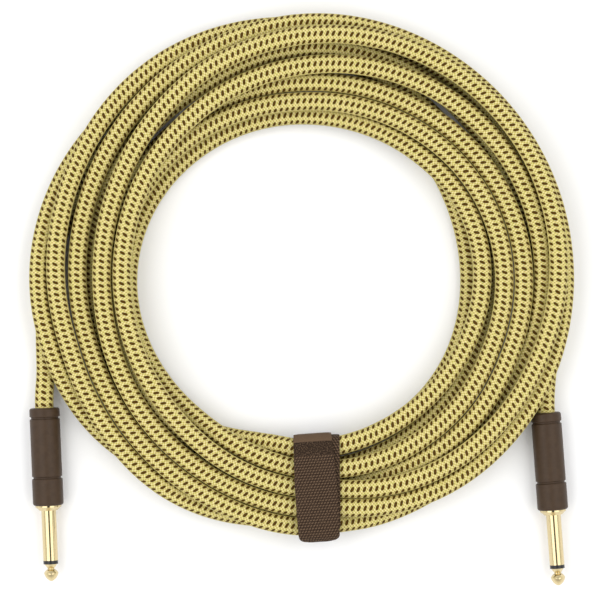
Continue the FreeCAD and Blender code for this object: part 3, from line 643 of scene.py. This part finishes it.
def weave_group():
    """Knitted rows of small slanted stitches, each row half a stitch aside, and a fuzz of fibres. Run
    and Across are in metres. The first Plain mm of the run are smooth edge tape, and from there to
    Rough mm the stitches give way to rough hooks."""
    row_pitch, stitch_pitch, stitch_slant, stitch_scale = 0.00117, 0.0013, 0.6, 2.3
    centre_off, edge_mm = 0.1, 0.3
    group, incoming, outgoing = new_group(
        "webbing_weave", [("Run", 0.0), ("Across", 0.0), ("Plain mm", 0.0), ("Rough mm", 0.0)],
        ["Stitch", "Fuzz"])
    run, across = incoming.outputs["Run"], incoming.outputs["Across"]
    row = maths(group, "DIVIDE", run, row_pitch)
    odd = times(group, maths(group, "MODULO", maths(group, "FLOOR", row), 2.0), 0.5)
    lift = within_repeat(group, row)
    place = plus(group, maths(group, "DIVIDE", plus(group, across, centre_off), stitch_pitch), odd)
    place = plus(group, place, times(group, lift, stitch_slant))
    aside = within_repeat(group, place)
    reach = oval_reach(group, times(group, aside, stitch_scale), 2.0, times(group, lift, stitch_scale), 2.0)
    stitch = maths(group, "SUBTRACT", 1.0, ramped(group, reach, 0.1, 1.1))
    pattern = add_node(group, "ShaderNodeCombineXYZ", X=run, Y=across).outputs[0]
    fuzz = noise(group, pattern, 1800.0, 3.0)
    hooks = times(group, ramped(group, fuzz, 0.45, 0.62), 0.45)
    run_mm = maths(group, "DIVIDE", run, MM)
    for limit, before in (("Rough mm", hooks), ("Plain mm", 0.9)):
        past_limit = maths(group, "SUBTRACT", run_mm, incoming.outputs[limit])
        stitch = mixed(group, ramped(group, past_limit, -edge_mm, edge_mm), before, stitch)
    group.links.new(stitch, outgoing.inputs["Stitch"])
    group.links.new(fuzz, outgoing.inputs["Fuzz"])
    return group


weave = weave_group()


def webbing_material(name, dark, middle, light, plain_mm=0.0, rough_mm=0.0):
    """Brown webbing: middle on the weave's stitches, dark in the gaps between them as painted shade, and its
    fuzz adds light fibres.
    """
    made, tree, shader = finish_of(name, 0.85, specular=0.2)
    _, run, across = pattern_place(tree)
    laid = add_node(tree, "ShaderNodeGroup", {"node_tree": weave},
                    Run=run, Across=across, Plain_mm=plain_mm, Rough_mm=rough_mm)
    stitch, fuzz = laid.outputs["Stitch"], laid.outputs["Fuzz"]
    # Painted shade: the dark brown fills the gaps between the stitches.
    colour = blended(tree, stitch, dark, middle)
    coloured(tree, shader, blended(tree, times(tree, ramped(tree, fuzz, 0.5, 0.75), 0.5), colour, light))
    raised(tree, shader, plus(tree, stitch, times(tree, fuzz, 0.35)), 0.8, 0.00035)
    return made


strap_browns = (srgb(42, 29, 19), srgb(102, 81, 62), srgb(116, 94, 74))
webbing = webbing_material("strap_webbing", *strap_browns)
free_end_webbing = webbing_material("free_end_webbing", *strap_browns, plain_mm=11.4, rough_mm=17.6)

mid_band = STRAP_T / 2
corners = [((BAND_LOW + INNER_BEND, mid_band + INNER_BEND), INNER_BEND, 180, 270),
           ((BAND_HIGH - OUTER_BEND, mid_band + OUTER_BEND), OUTER_BEND, 270, 360),
           ((BAND_HIGH - OUTER_BEND, BAND_TOP - OUTER_BEND), OUTER_BEND, 0, 90),
           ((BAND_LOW + INNER_BEND, BAND_TOP - INNER_BEND), INNER_BEND, 90, 180)]
band_path = np.vstack([arc_points(*corner, 24) for corner in corners])
band_path = evenly(np.vstack([band_path, band_path[:1]]), BAND_SPACING)[:-1]
band_sway = BAND_SWAY * (BAND_HIGH - band_path[:, 0]) / (BAND_HIGH - BAND_LOW)
band_width = np.interp(band_path[:, 0], [TAPER_FROM, TAPER_TO], [STRAP_WIDTH, STRAP_WIDTH - TAPER])
band = webbing_strip("strap_loop", band_path, band_width, STRAP_T, closed=True, sway=band_sway)
wear(band, webbing)
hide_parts("strap_band")
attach(band, "cable")


# Free end of the tie: it comes up over the inner fold, lies on the band's top with the hook face
# under it, and turns down over the outer fold. The real free end peels up about the inner fold; here
# the hook face goes with the flap's body and the loop face with the cable's.

HINGE = np.array([73.146, 21.0])
INNER_FOLD = (BAND_LOW + 7.9, 12.0)
INNER_FOLD_R = 9.0
TUCK_HEIGHT = 8.0
OUTER_FOLD = np.array([104.9, 13.4])
outer_fold_r = HINGE[1] - OUTER_FOLD[1]
FLAP_SPACING = 0.5
FLAP_RADII, FLAP_WIDTHS = [66.0, 86.0, 100.0, 112.0], [16.3, 18.0, 18.0, 17.4]
flap_path = np.vstack([
    [(INNER_FOLD[0] - INNER_FOLD_R, TUCK_HEIGHT)],
    arc_points(INNER_FOLD, INNER_FOLD_R, 180, 90, 30),
    arc_points(OUTER_FOLD, outer_fold_r, 90, 33, 28)])
flap_path = evenly(flap_path, FLAP_SPACING)
flap_width = np.interp(flap_path[:, 0], FLAP_RADII, FLAP_WIDTHS)
flap = webbing_strip("strap_free_end", flap_path, flap_width, STRAP_T, end_round=3.5)
wear(flap, free_end_webbing)
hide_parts("strap_flap")
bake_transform(flap)

PAD_WIDTH, PAD_T, PAD_START, PAD_SPACING = 15.0, 0.4, 1.6, 0.6
HOOK_DROP, LOOP_DROP = 0.7, 1.4
hook_material = grained(
    "hook_face", srgb(56, 43, 34), srgb(66, 52, 41), 0.8, size_mm=0.35,
    relief_mm=0.25, strength=0.9, sheen=0.2)
loop_material = grained(
    "loop_face", srgb(80, 65, 53), srgb(92, 76, 63), 0.92, size_mm=0.6,
    relief_mm=0.25, strength=0.8, sheen=0.5)
for pad_name, node, drop, material, body, slot_name in (
        ("hook_face", "hook_pad", HOOK_DROP, hook_material, "flap", "hooks"),
        ("loop_face", "loop_pad", LOOP_DROP, loop_material, "cable", "loops")):
    pad_path = np.vstack([[(HINGE[0] + PAD_START, HINGE[1] - drop)],
                          arc_points(OUTER_FOLD, outer_fold_r - drop, 90, 51, 20)])
    pad = webbing_strip(pad_name, evenly(pad_path, PAD_SPACING), PAD_WIDTH, PAD_T)
    wear(pad, material)
    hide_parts(node)
    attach(pad, body)


# Surface and light: a flat white studio table that keeps a faint shadow, under two broad softboxes with
# a dark slot overhead between them, which draws the thin line down the middle of the plated pins. The
# table is grey for the light that it throws back, and white for the camera, glossy and clear pieces.

FLOOR_HALF, FLOOR_HEIGHT = 3.0, -0.0001
FLOOR_GREY, WHITE = (0.45, 0.45, 0.45, 1.0), (1.0, 1.0, 1.0, 1.0)
LOW_SKY, HIGH_SKY_FALL, SLOT_FALL = 1.2, -0.55, -0.62
LAMP_WIDTH, LAMP_LENGTH, LAMP_HEIGHT = 1.2, 2.0, 1.1


def seen_by(tree, *rays):
    """1 for rays of the kinds named, 0 for all others."""
    kinds = add_node(tree, "ShaderNodeLightPath").outputs
    share = kinds[rays[0]]
    for ray in rays[1:]:
        share = maths(tree, "MAXIMUM", share, kinds[ray])
    return share


floor_points = np.array([
    (-FLOOR_HALF, -FLOOR_HALF, FLOOR_HEIGHT), (FLOOR_HALF, -FLOOR_HALF, FLOOR_HEIGHT),
    (FLOOR_HALF, FLOOR_HALF, FLOOR_HEIGHT), (-FLOOR_HALF, FLOOR_HALF, FLOOR_HEIGHT)])
studio_floor = mesh_piece("studio_floor", floor_points, [[0, 1, 2, 3]], smooth=False)
floor_white, floor_tree, floor_shader = finish_of("studio_white", 1.0, specular=0.0)
floor_seen = seen_by(floor_tree, "Is Camera Ray", "Is Glossy Ray", "Is Transmission Ray")
coloured(floor_tree, floor_shader, blended(floor_tree, floor_seen, FLOOR_GREY, WHITE))
wear(studio_floor, floor_white)

studio_world = bpy.data.worlds.new("studio_world")
studio_world.use_nodes = True
world_tree = studio_world.node_tree
background = world_tree.nodes["Background"]
background.inputs["Color"].default_value = WHITE
world_seen = seen_by(world_tree, "Is Camera Ray", "Is Transmission Ray")
sky_place = add_node(world_tree, "ShaderNodeTexCoord").outputs["Generated"]
sky_height = add_node(world_tree, "ShaderNodeSeparateXYZ", Vector=sky_place).outputs[2]
high_sky = ramped(world_tree, sky_height, 0.1, 0.7)
slot = ramped(world_tree, sky_height, 0.96, 0.975)
open_sky = maths(world_tree, "MULTIPLY_ADD", high_sky, HIGH_SKY_FALL, LOW_SKY)
open_sky = maths(world_tree, "MULTIPLY_ADD", slot, SLOT_FALL, open_sky)
world_tree.links.new(mixed(world_tree, world_seen, open_sky, 1.0), background.inputs["Strength"])
bpy.context.scene.world = studio_world

for lamp_name, aside, radiance in (("left_softbox", -0.86, 1.62), ("right_softbox", 0.86, 1.42)):
    lamp = bpy.data.lights.new(lamp_name, "AREA")
    lamp.shape = "RECTANGLE"
    lamp.size, lamp.size_y = LAMP_WIDTH, LAMP_LENGTH
    lamp.energy = radiance * math.pi * lamp.size * lamp.size_y
    lamp_object = bpy.data.objects.new(lamp_name, lamp)
    lamp_object.location = view_centre + np.array([aside, 0.0, LAMP_HEIGHT])
    bpy.context.scene.collection.objects.link(lamp_object)
